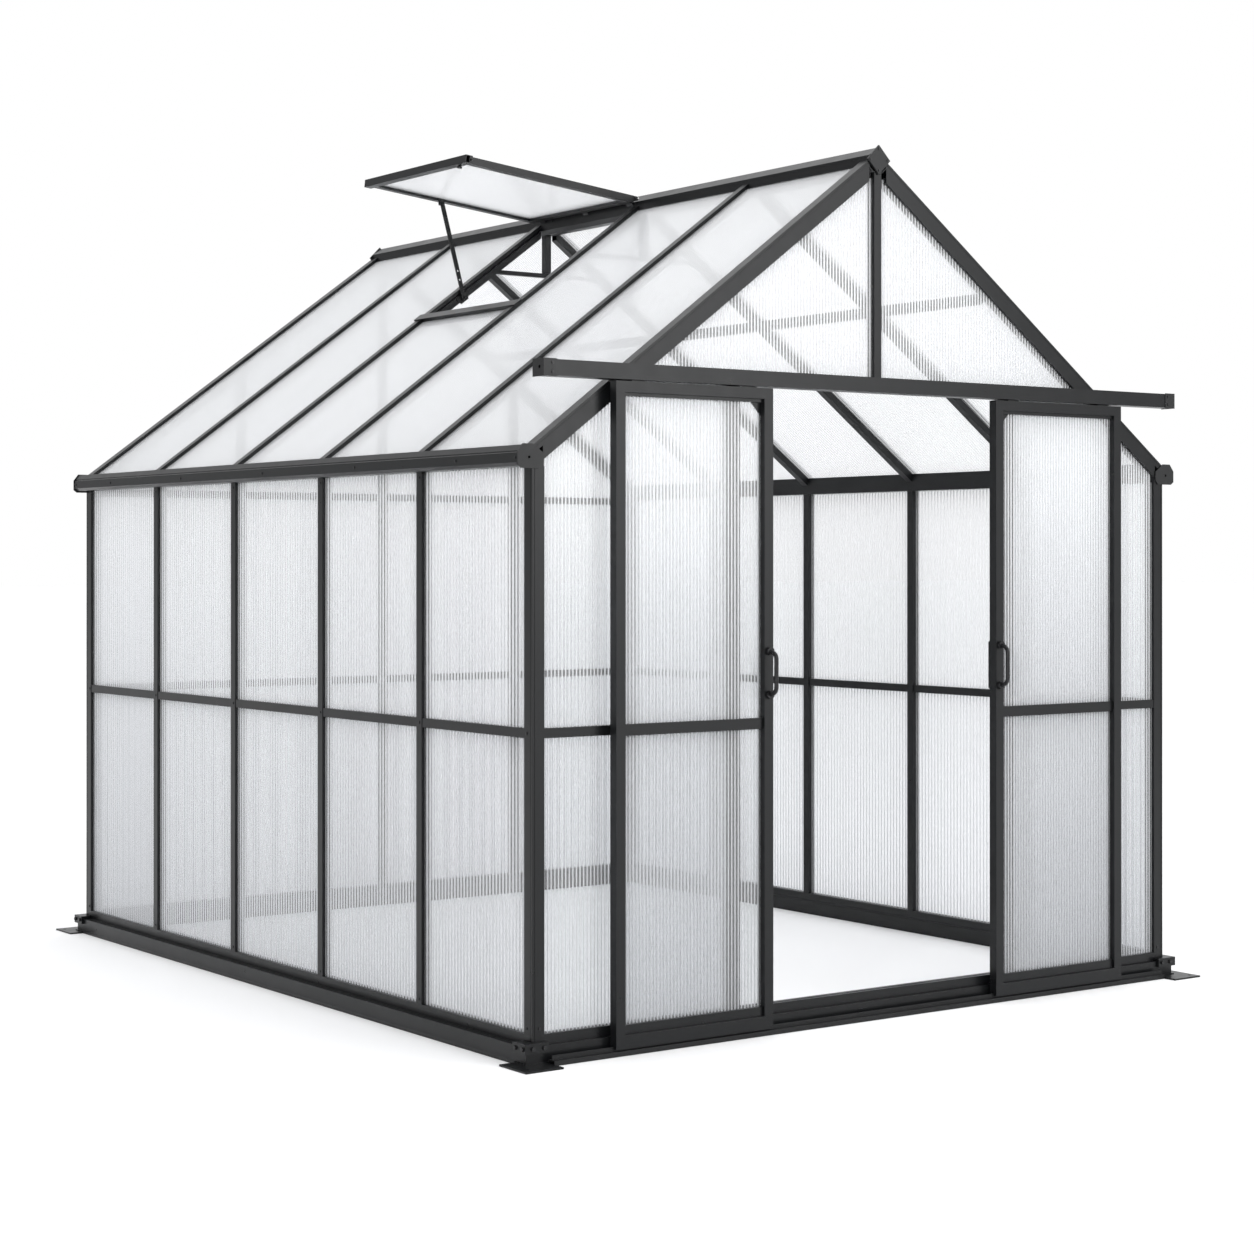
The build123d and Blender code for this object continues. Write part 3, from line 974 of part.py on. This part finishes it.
# ---------------------------------------------------------------------- export
PIECES = {
    "base_beams": base_beams, "corner_feet": corner_feet, "sill_channels": sill_channels, "corner_posts": corner_posts,
    "left_wall_studs": left_wall_studs, "right_wall_studs": right_wall_studs, "rear_wall_studs": rear_wall_studs,
    "door_jambs": door_jambs, "left_mid_rails": left_mid_rails, "right_mid_rails": right_mid_rails,
    "rear_wall_rails": rear_wall_rails, "front_mid_rails": front_mid_rails, "eave_beams": eave_beams,
    "eave_end_caps": eave_end_caps, "front_lintel": front_lintel, "front_gable_post": front_gable_post,
    "ridge_beam": ridge_beam, "ridge_end_caps": ridge_end_caps, "end_rafters": end_rafters,
    "left_roof_rafters": left_roof_rafters, "right_roof_rafters": right_roof_rafters, "roof_purlin": roof_purlin,
    "truss_collar_ties": truss_collar_ties, "truss_king_posts": truss_king_posts, "vent_opening_bar": vent_opening_bar,
    "left_wall_panels": left_wall_panels, "right_wall_panels": right_wall_panels, "rear_wall_panels": rear_wall_panels,
    "front_wall_panels": front_wall_panels, "left_roof_panels": left_roof_panels, "right_roof_panels": right_roof_panels,
    "door_header_track": door_header_track, "header_end_caps": header_end_caps, "bottom_guide_rail": bottom_guide_rail,
    "right_door_stiles": right_door_stiles, "right_door_rails": right_door_rails, "right_door_panels": right_door_panels,
    "right_door_handles": right_door_handles, "right_door_hangers": right_door_hangers,
    "right_inner_wheelset": right_inner_wheelset, "right_outer_wheelset": right_outer_wheelset,
    "left_door_stiles": left_door_stiles, "left_door_rails": left_door_rails, "left_door_panels": left_door_panels,
    "left_door_handles": left_door_handles, "left_door_hangers": left_door_hangers,
    "left_inner_wheelset": left_inner_wheelset, "left_outer_wheelset": left_outer_wheelset,
    "vent_side_rails": vent_side_rails, "vent_cross_rails": vent_cross_rails, "vent_panel": vent_panel,
    "vent_hinge_brackets": vent_hinge_brackets, "vent_hinge_knuckles": vent_hinge_knuckles, "vent_hinge_pin": vent_hinge_pin,
    "vent_stay": vent_stay, "vent_stay_pivot": vent_stay_pivot, "vent_stay_bracket": vent_stay_bracket, "vent_knob": vent_knob,
    "frame_screws": frame_screws, "foot_bolts": foot_bolts,
}
for label, piece in PIECES.items():
    piece.part.label = label
    export_step(piece.part, f"parts/{label}.step")
print(len(PIECES), "pieces; vent pivot", round(PIV_X, 3), round(PIV_Z, 3), "stay top", [round(v, 3) for v in ST],
      "stay foot", [round(v, 3) for v in SF])
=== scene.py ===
import math

import bmesh
import bpy
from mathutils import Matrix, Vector
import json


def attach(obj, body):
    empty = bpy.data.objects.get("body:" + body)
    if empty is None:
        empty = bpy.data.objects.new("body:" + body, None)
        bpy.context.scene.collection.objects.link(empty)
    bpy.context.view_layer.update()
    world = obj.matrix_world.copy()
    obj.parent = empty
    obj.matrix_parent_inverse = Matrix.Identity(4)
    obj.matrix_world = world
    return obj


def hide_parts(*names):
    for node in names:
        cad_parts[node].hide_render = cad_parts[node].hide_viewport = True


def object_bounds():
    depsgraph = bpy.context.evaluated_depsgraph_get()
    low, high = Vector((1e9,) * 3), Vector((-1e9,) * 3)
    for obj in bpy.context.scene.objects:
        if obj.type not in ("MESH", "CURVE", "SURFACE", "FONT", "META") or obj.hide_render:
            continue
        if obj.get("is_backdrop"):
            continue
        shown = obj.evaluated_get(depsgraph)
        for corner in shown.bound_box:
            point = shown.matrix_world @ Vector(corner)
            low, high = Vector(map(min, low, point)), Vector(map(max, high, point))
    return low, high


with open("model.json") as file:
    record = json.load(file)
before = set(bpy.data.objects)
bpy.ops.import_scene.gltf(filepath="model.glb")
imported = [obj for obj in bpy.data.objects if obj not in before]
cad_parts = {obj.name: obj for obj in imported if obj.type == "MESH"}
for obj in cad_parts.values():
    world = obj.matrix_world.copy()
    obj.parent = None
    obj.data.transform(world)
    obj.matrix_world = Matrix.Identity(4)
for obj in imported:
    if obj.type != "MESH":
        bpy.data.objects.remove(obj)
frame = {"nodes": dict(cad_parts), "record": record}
CAD_LO, CAD_HI = (tuple(v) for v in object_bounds())
NODES = frame["nodes"]
bpy.context.scene.view_settings.view_transform = "Standard"
bpy.context.scene.view_settings.look = "None"
MM = 0.001


# ------------------------------------------------------------------ materials
def new_material(name):
    m = bpy.data.materials.new(name)
    m.use_nodes = True
    nt = m.node_tree
    nt.nodes.clear()
    out = nt.nodes.new("ShaderNodeOutputMaterial")
    return m, nt, out


def noise(nt, scale, detail=3.0, rough=0.5, stretch=None):
    co = nt.nodes.new("ShaderNodeTexCoord")
    mp = nt.nodes.new("ShaderNodeMapping")
    if stretch:
        mp.inputs["Scale"].default_value = stretch
    nz = nt.nodes.new("ShaderNodeTexNoise")
    nz.inputs["Scale"].default_value = scale
    nz.inputs["Detail"].default_value = detail
    nz.inputs["Roughness"].default_value = rough
    nt.links.new(co.outputs["Object"], mp.inputs["Vector"])
    nt.links.new(mp.outputs["Vector"], nz.inputs["Vector"])
    return nz


def ramp(nt, source, stops):
    r = nt.nodes.new("ShaderNodeValToRGB")
    r.color_ramp.elements[0].position = stops[0][0]
    r.color_ramp.elements[0].color = stops[0][1]
    r.color_ramp.elements[1].position = stops[-1][0]
    r.color_ramp.elements[1].color = stops[-1][1]
    for pos, col in stops[1:-1]:
        e = r.color_ramp.elements.new(pos)
        e.color = col
    nt.links.new(source, r.inputs["Fac"])
    return r


def span(nt, source, lo, hi):
    m = nt.nodes.new("ShaderNodeMapRange")
    m.inputs["To Min"].default_value = lo
    m.inputs["To Max"].default_value = hi
    nt.links.new(source, m.inputs["Value"])
    return m


def coated(name, base, rough=0.42, grain=2600.0, bump=0.10, spread=0.12):
    """Satin powder coat: fine orange-peel grain, faint cloudiness in tone and sheen."""
    m, nt, out = new_material(name)
    p = nt.nodes.new("ShaderNodeBsdfPrincipled")
    cloud = noise(nt, 3.5, 4.0)
    lo = tuple(c * (1 - spread) for c in base) + (1,)
    hi = tuple(c * (1 + spread) for c in base) + (1,)
    col = ramp(nt, cloud.outputs["Fac"], [(0.3, lo), (0.7, hi)])
    nt.links.new(col.outputs["Color"], p.inputs["Base Color"])
    wear = noise(nt, 22.0, 5.0)
    rr = span(nt, wear.outputs["Fac"], rough - 0.07, rough + 0.09)
    nt.links.new(rr.outputs["Result"], p.inputs["Roughness"])
    p.inputs["Specular IOR Level"].default_value = 0.27
    peel = noise(nt, grain, 2.0)
    b = nt.nodes.new("ShaderNodeBump")
    b.inputs["Strength"].default_value = bump
    b.inputs["Distance"].default_value = 0.0002
    nt.links.new(peel.outputs["Fac"], b.inputs["Height"])
    nt.links.new(b.outputs["Normal"], p.inputs["Normal"])
    nt.links.new(p.outputs["BSDF"], out.inputs["Surface"])
    return m


def metal(name, base, rough=0.28):
    m, nt, out = new_material(name)
    p = nt.nodes.new("ShaderNodeBsdfPrincipled")
    p.inputs["Metallic"].default_value = 1.0
    n = noise(nt, 900.0, 2.0, stretch=(1, 0.05, 1))
    col = ramp(nt, n.outputs["Fac"], [(0.3, tuple(c * 0.85 for c in base) + (1,)), (0.7, tuple(base) + (1,))])
    nt.links.new(col.outputs["Color"], p.inputs["Base Color"])
    rr = span(nt, n.outputs["Fac"], rough - 0.06, rough + 0.1)
    nt.links.new(rr.outputs["Result"], p.inputs["Roughness"])
    nt.links.new(p.outputs["BSDF"], out.inputs["Surface"])
    return m


def shadow_passes(nt, shader, amount):
    """Lets part of the light through towards what lies behind a translucent sheet."""
    lp = nt.nodes.new("ShaderNodeLightPath")
    mul = nt.nodes.new("ShaderNodeMath")
    mul.operation = "MULTIPLY"
    mul.inputs[1].default_value = amount
    nt.links.new(lp.outputs["Is Shadow Ray"], mul.inputs[0])
    clear = nt.nodes.new("ShaderNodeBsdfTransparent")
    mix = nt.nodes.new("ShaderNodeMixShader")
    nt.links.new(mul.outputs["Value"], mix.inputs["Fac"])
    nt.links.new(shader, mix.inputs[1])
    nt.links.new(clear.outputs["BSDF"], mix.inputs[2])
    return mix.outputs["Shader"]


def ground_shade_and_streaks(nt, upper_tone, low):
    """White polymer tone with painted shade that greys it slightly towards the ground, and faint long streaks that
    vary the tone at random.
    """
    co = nt.nodes.new("ShaderNodeTexCoord")
    sep = nt.nodes.new("ShaderNodeSeparateXYZ")
    nt.links.new(co.outputs["Object"], sep.inputs["Vector"])
    # painted shade: the tone darkens from the top down to near the ground
    grade = nt.nodes.new("ShaderNodeMapRange")
    grade.inputs["From Min"].default_value = 0.05
    grade.inputs["From Max"].default_value = 1.7
    nt.links.new(sep.outputs["Z"], grade.inputs["Value"])
    streak = noise(nt, 9.0, 2.0, stretch=(1.0, 1.0, 0.06))
    soft = span(nt, streak.outputs["Fac"], -0.06, 0.06)
    add = nt.nodes.new("ShaderNodeMath")
    add.operation = "ADD"
    add.use_clamp = True
    nt.links.new(grade.outputs["Result"], add.inputs[0])
    nt.links.new(soft.outputs["Result"], add.inputs[1])
    return ramp(nt, add.outputs["Value"], [(0.0, low + (1,)), (0.55, tuple((a + b) / 2 for a, b in zip(low, upper_tone)) + (1,)), (1.0, upper_tone + (1,))])


def sheet_skin(name):
    """Outer walls of a twin-wall sheet: clear polymer with a milky scatter and a faint sheen."""
    m, nt, out = new_material(name)
    clear = nt.nodes.new("ShaderNodeBsdfTransparent")
    # painted shade: the clear tint and the milky tone both grey towards the ground
    tint = ground_shade_and_streaks(nt, (0.938, 0.941, 0.946), (0.865, 0.87, 0.88))
    nt.links.new(tint.outputs["Color"], clear.inputs["Color"])
    tone = ground_shade_and_streaks(nt, (0.93, 0.935, 0.941), (0.75, 0.755, 0.765))
    milk = nt.nodes.new("ShaderNodeBsdfTranslucent")
    nt.links.new(tone.outputs["Color"], milk.inputs["Color"])
    body = nt.nodes.new("ShaderNodeBsdfDiffuse")
    nt.links.new(tone.outputs["Color"], body.inputs["Color"])
    scatter = nt.nodes.new("ShaderNodeMixShader")
    scatter.inputs["Fac"].default_value = 0.5
    nt.links.new(milk.outputs["BSDF"], scatter.inputs[1])
    nt.links.new(body.outputs["BSDF"], scatter.inputs[2])
    mix = nt.nodes.new("ShaderNodeMixShader")
    mix.inputs["Fac"].default_value = 0.14
    nt.links.new(clear.outputs["BSDF"], mix.inputs[1])
    nt.links.new(scatter.outputs["Shader"], mix.inputs[2])
    gloss = nt.nodes.new("ShaderNodeBsdfGlossy")
    fine = noise(nt, 260.0, 2.0)
    rr = span(nt, fine.outputs["Fac"], 0.16, 0.20)
    nt.links.new(rr.outputs["Result"], gloss.inputs["Roughness"])
    # rises towards grazing alike on both sides of a face, so the far face of the thin sheet doesn't turn to a mirror
    facing = nt.nodes.new("ShaderNodeLayerWeight")
    facing.inputs["Blend"].default_value = 0.5
    rise = nt.nodes.new("ShaderNodeMath")
    rise.operation = "POWER"
    rise.inputs[1].default_value = 4.0
    nt.links.new(facing.outputs["Facing"], rise.inputs[0])
    fres = span(nt, rise.outputs["Value"], 0.015, 0.45)
    top = nt.nodes.new("ShaderNodeMixShader")
    nt.links.new(fres.outputs["Result"], top.inputs["Fac"])
    nt.links.new(mix.outputs["Shader"], top.inputs[1])
    nt.links.new(gloss.outputs["BSDF"], top.inputs[2])
    nt.links.new(shadow_passes(nt, top.outputs["Shader"], 0.8), out.inputs["Surface"])
    return m


def sheet_rib(name, cover):
    """Webs between the two walls: cloudy white, lit from either side."""
    m, nt, out = new_material(name)
    milk = nt.nodes.new("ShaderNodeBsdfTranslucent")
    body = nt.nodes.new("ShaderNodeBsdfDiffuse")
    # painted shade: the web tone greys towards the ground
    tone = ground_shade_and_streaks(nt, (0.91, 0.913, 0.918), (0.74, 0.745, 0.755))
    nt.links.new(tone.outputs["Color"], milk.inputs["Color"])
    nt.links.new(tone.outputs["Color"], body.inputs["Color"])
    s = nt.nodes.new("ShaderNodeMixShader")
    s.inputs["Fac"].default_value = 0.4
    nt.links.new(milk.outputs["BSDF"], s.inputs[1])
    nt.links.new(body.outputs["BSDF"], s.inputs[2])
    if cover >= 1.0:
        nt.links.new(shadow_passes(nt, s.outputs["Shader"], 0.85), out.inputs["Surface"])
        return m
    clear = nt.nodes.new("ShaderNodeBsdfTransparent")
    half = nt.nodes.new("ShaderNodeMixShader")
    half.inputs["Fac"].default_value = cover
    nt.links.new(clear.outputs["BSDF"], half.inputs[1])
    nt.links.new(s.outputs["Shader"], half.inputs[2])
    nt.links.new(shadow_passes(nt, half.outputs["Shader"], 0.85), out.inputs["Surface"])
    return m


COAT = coated("charcoal_coat", (0.006, 0.0065, 0.0072), rough=0.30, spread=0.08)
COAT_DARK = coated("dark_coat", (0.010, 0.0105, 0.011), rough=0.5)
CAP = coated("black_cap", (0.012, 0.0125, 0.013), rough=0.38, bump=0.05)
PULL = coated("black_pull", (0.010, 0.010, 0.011), rough=0.26, grain=1500.0, bump=0.04)
NYLON = coated("nylon", (0.62, 0.61, 0.58), rough=0.35, bump=0.05)
SCREW = coated("black_screw", (0.018, 0.018, 0.019), rough=0.3, bump=0.03)
STEEL = metal("pin_steel", (0.62, 0.62, 0.61))
SKIN = sheet_skin("sheet_skin")
RIB = sheet_rib("sheet_rib", 1.0)
RIB_SOFT = sheet_rib("sheet_rib_soft", 0.42)

BY_SLOT = {"frame": COAT, "caps": CAP, "guide": COAT_DARK, "pulls": PULL, "wheels": NYLON, "screws": SCREW, "pins": STEEL,
           "glazing": SKIN}
SLOT_OF = {s["node"]: s["material_slot"] for s in frame["record"]["subparts"]}


# --------------------------------------------------- finish on the CAD pieces
def dress(obj, mat, edge=0.0006):
    obj.data.materials.clear()
    obj.data.materials.append(mat)
    if edge:
        b = obj.modifiers.new("edge", "BEVEL")
        b.width = edge
        b.segments = 2
        b.limit_method = "ANGLE"
        b.angle_limit = math.radians(35)
        b.use_clamp_overlap = True
        b.harden_normals = True
    for poly in obj.data.polygons:
        poly.use_smooth = True
    try:
        obj.data.set_sharp_from_angle(angle=math.radians(35))
    except AttributeError:
        pass


GLAZED = {
    "left_wall_panels": ((0, 1, 0), 17.0, RIB), "right_wall_panels": ((0, 1, 0), 17.0, RIB),
    "left_roof_panels": ((0, 1, 0), 14.0, RIB_SOFT), "right_roof_panels": ((0, 1, 0), 14.0, RIB_SOFT),
    "vent_panel": ((0, 1, 0), 14.0, RIB_SOFT), "front_wall_panels": ((1, 0, 0), 12.0, RIB),
    "rear_wall_panels": ((1, 0, 0), 12.0, RIB), "left_door_panels": ((1, 0, 0), 12.0, RIB),
    "right_door_panels": ((1, 0, 0), 12.0, RIB),
}
for name, obj in NODES.items():
    if name in GLAZED:
        continue
    slot_name = SLOT_OF[name]
    edge = {"screws": 0.0008, "pulls": 0.0006, "wheels": 0.0006, "pins": 0.0, "caps": 0.0015}.get(slot_name, 0.0018)
    dress(obj, BY_SLOT[slot_name], edge)


# ------------------------------------------------------- fluted glazing sheets
def islands(bm):
    left = set(bm.verts)
    while left:
        seed = left.pop()
        group, stack = {seed}, [seed]
        while stack:
            v = stack.pop()
            for e in v.link_edges:
                o = e.other_vert(v)
                if o in left:
                    left.discard(o)
                    group.add(o)
                    stack.append(o)
        yield group


def hull2(points):
    pts = sorted(set(points))
    if len(pts) < 3:
        return pts

    def half(seq):
        out = []
        for p in seq:
            while len(out) > 1 and (out[-1][0] - out[-2][0]) * (p[1] - out[-2][1]) - (out[-1][1] - out[-2][1]) * (p[0] - out[-2][0]) <= 1e-12:
                out.pop()
            out.append(p)
        return out

    lower, upper = half(pts), half(reversed(pts))
    return lower[:-1] + upper[:-1]


def reach(poly, s):
    """Lowest and highest t of a convex outline at s."""
    hits = []
    for (s0, t0), (s1, t1) in zip(poly, poly[1:] + poly[:1]):
        if (s0 - s) * (s1 - s) <= 0 and abs(s1 - s0) > 1e-9:
            hits.append(t0 + (t1 - t0) * (s - s0) / (s1 - s0))
    return (min(hits), max(hits)) if len(hits) > 1 else None


WEB = 0.6 * MM


def add_box(verts, faces, mats, o, a, b, c, mat):
    """Closed box spanned from corner o by the three edge vectors."""
    k = len(verts)
    verts += [o, o + a, o + a + b, o + b, o + c, o + a + c, o + a + b + c, o + b + c]
    quads = [(0, 3, 2, 1), (4, 5, 6, 7), (0, 1, 5, 4), (1, 2, 6, 5), (2, 3, 7, 6), (3, 0, 4, 7)]
    faces += [tuple(k + i for i in q) for q in quads]
    mats += [mat] * 6


def fluted(node, along, pitch, rib):
    """Twin-wall sheets for one node: the two walls as a closed skin and webs between them."""
    src = NODES[node]
    bm = bmesh.new()
    bm.from_mesh(src.data)
    bmesh.ops.remove_doubles(bm, verts=bm.verts, dist=1e-6)
    es = Vector(along)
    verts, faces, mats = [], [], []
    for group in islands(bm):
        polys = {f for v in group for f in v.link_faces}
        big = max(polys, key=lambda f: f.calc_area())
        n = big.normal.copy()
        et = n.cross(es).normalized()
        flat = [(v.co.dot(es), v.co.dot(et)) for v in group]
        depth = [v.co.dot(n) for v in group]
        lo_n, hi_n = min(depth), max(depth)
        index = {}
        for f in polys:
            ids = []
            for v in f.verts:
                if v not in index:
                    index[v] = len(verts)
                    verts.append(v.co.copy())
                ids.append(index[v])
            faces.append(tuple(ids))
            mats.append(0)
        outline = hull2([(round(a, 7), round(b, 7)) for a, b in flat])
        s0, s1 = min(p[0] for p in outline), max(p[0] for p in outline)
        count = int((s1 - s0) / pitch)
        first = (s0 + s1) / 2 - pitch * count / 2
        for i in range(count + 1):
            s = first + i * pitch
            if s - WEB < s0 or s + WEB > s1:
                continue
            span_a, span_b = reach(outline, s - WEB / 2), reach(outline, s + WEB / 2)
            if not span_a or not span_b:
                continue
            t0, t1 = max(span_a[0], span_b[0]) + 0.0004, min(span_a[1], span_b[1]) - 0.0004
            if t1 - t0 < 0.002:
                continue
            o = es * (s - WEB / 2) + et * t0 + n * (lo_n + 0.0003)
            add_box(verts, faces, mats, o, es * WEB, et * (t1 - t0), n * (hi_n - lo_n - 0.0006), 1)
    bm.free()
    me = bpy.data.meshes.new(node + "_fluted")
    me.from_pydata([tuple(v) for v in verts], [], faces)
    me.materials.append(SKIN)
    me.materials.append(rib)
    for poly, k in zip(me.polygons, mats):
        poly.material_index = k
    bm = bmesh.new()
    bm.from_mesh(me)
    bmesh.ops.recalc_face_normals(bm, faces=bm.faces)
    bm.to_mesh(me)
    bm.free()
    obj = bpy.data.objects.new(node + "_fluted", me)
    bpy.context.scene.collection.objects.link(obj)
    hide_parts(node)
    return obj


BODY_OF = {n: b for b, members in frame["record"]["behaviour"]["bodies"].items() for n in members}
for node, (along, pitch, rib) in GLAZED.items():
    piece = fluted(node, along, pitch * MM, rib)
    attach(piece, BODY_OF[node])

# ------------------------------------------------------------------ the studio
def studio_floor():
    m, nt, out = new_material("studio_floor")
    p = nt.nodes.new("ShaderNodeBsdfPrincipled")
    n = noise(nt, 0.6, 2.0)
    col = ramp(nt, n.outputs["Fac"], [(0.3, (0.93, 0.93, 0.93, 1)), (0.7, (0.95, 0.95, 0.95, 1))])
    nt.links.new(col.outputs["Color"], p.inputs["Base Color"])
    p.inputs["Roughness"].default_value = 0.9
    p.inputs["Specular IOR Level"].default_value = 0.0
    nt.links.new(p.outputs["BSDF"], out.inputs["Surface"])
    me = bpy.data.meshes.new("studio_floor")
    r = 120.0
    me.from_pydata([(-r, -r, 0), (r, -r, 0), (r, r, 0), (-r, r, 0)], [], [(0, 1, 2, 3)])
    me.materials.append(m)
    o = bpy.data.objects.new("studio_floor", me)
    bpy.context.scene.collection.objects.link(o)
    o.location.z = -0.0004
    return o


studio_floor()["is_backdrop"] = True

world = bpy.data.worlds.new("studio")
bpy.context.scene.world = world
world.use_nodes = True
wn = world.node_tree
wn.nodes.clear()
w_out = wn.nodes.new("ShaderNodeOutputWorld")
seen = wn.nodes.new("ShaderNodeBackground")
seen.inputs["Color"].default_value = (1, 1, 1, 1)
seen.inputs["Strength"].default_value = 1.0
lit = wn.nodes.new("ShaderNodeBackground")
lit.inputs["Color"].default_value = (0.985, 0.99, 1.0, 1)
where = wn.nodes.new("ShaderNodeTexCoord")
xyz = wn.nodes.new("ShaderNodeSeparateXYZ")
wn.links.new(where.outputs["Generated"], xyz.inputs["Vector"])
# large soft sources overhead and to the right, a dim side to the left
high = wn.nodes.new("ShaderNodeMapRange")
high.inputs["From Min"].default_value = 0.0
high.inputs["From Max"].default_value = 0.9
high.inputs["To Min"].default_value = 0.55
high.inputs["To Max"].default_value = 1.35
wn.links.new(xyz.outputs["Z"], high.inputs["Value"])
aside = wn.nodes.new("ShaderNodeMapRange")
aside.inputs["From Min"].default_value = -0.9
aside.inputs["From Max"].default_value = 0.7
aside.inputs["To Min"].default_value = 0.60
aside.inputs["To Max"].default_value = 1.25
wn.links.new(xyz.outputs["X"], aside.inputs["Value"])
both = wn.nodes.new("ShaderNodeMath")
both.operation = "MULTIPLY"
wn.links.new(high.outputs["Result"], both.inputs[0])
wn.links.new(aside.outputs["Result"], both.inputs[1])
wn.links.new(both.outputs["Value"], lit.inputs["Strength"])
path = wn.nodes.new("ShaderNodeLightPath")
wmix = wn.nodes.new("ShaderNodeMixShader")
wn.links.new(path.outputs["Is Camera Ray"], wmix.inputs["Fac"])
wn.links.new(lit.outputs["Background"], wmix.inputs[1])
wn.links.new(seen.outputs["Background"], wmix.inputs[2])
wn.links.new(wmix.outputs["Shader"], w_out.inputs["Surface"])


def area(name, pos, target, size, power, tall=None):
    d = bpy.data.lights.new(name, "AREA")
    d.shape = "RECTANGLE" if tall else "SQUARE"
    d.size = size
    if tall:
        d.size_y = tall
    d.energy = power
    o = bpy.data.objects.new(name, d)
    bpy.context.scene.collection.objects.link(o)
    o.location = pos
    o.rotation_euler = (Vector(target) - Vector(pos)).to_track_quat("-Z", "Y").to_euler()
    return o


area("front_soft", (4.5, -11.0, 4.2), (0, -1, 1.1), 6.0, 420)
area("edge_strip", (-13.0, -10.0, 3.4), (0, 0, 1.4), 1.1, 620, tall=7.0)
area("top_soft", (0.0, 0.0, 11.0), (0, 0, 0), 14.0, 420)

cam_data = bpy.data.cameras.new("camera")
cam_data.sensor_width = 36.0
cam_data.lens = 70.88
cam_data.shift_y = -0.0585
cam_data.clip_end = 400.0
cam = bpy.data.objects.new("camera", cam_data)
bpy.context.scene.collection.objects.link(cam)
cam.location = (-4.958, -7.117, 1.373)
cam.rotation_euler = (math.radians(90.17), 0.0, math.radians(-35.63))
bpy.context.scene.camera = cam

import json

lo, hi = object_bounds()
{"cad": [list(CAD_LO), list(CAD_HI)], "visual": [list(lo), list(hi)]}
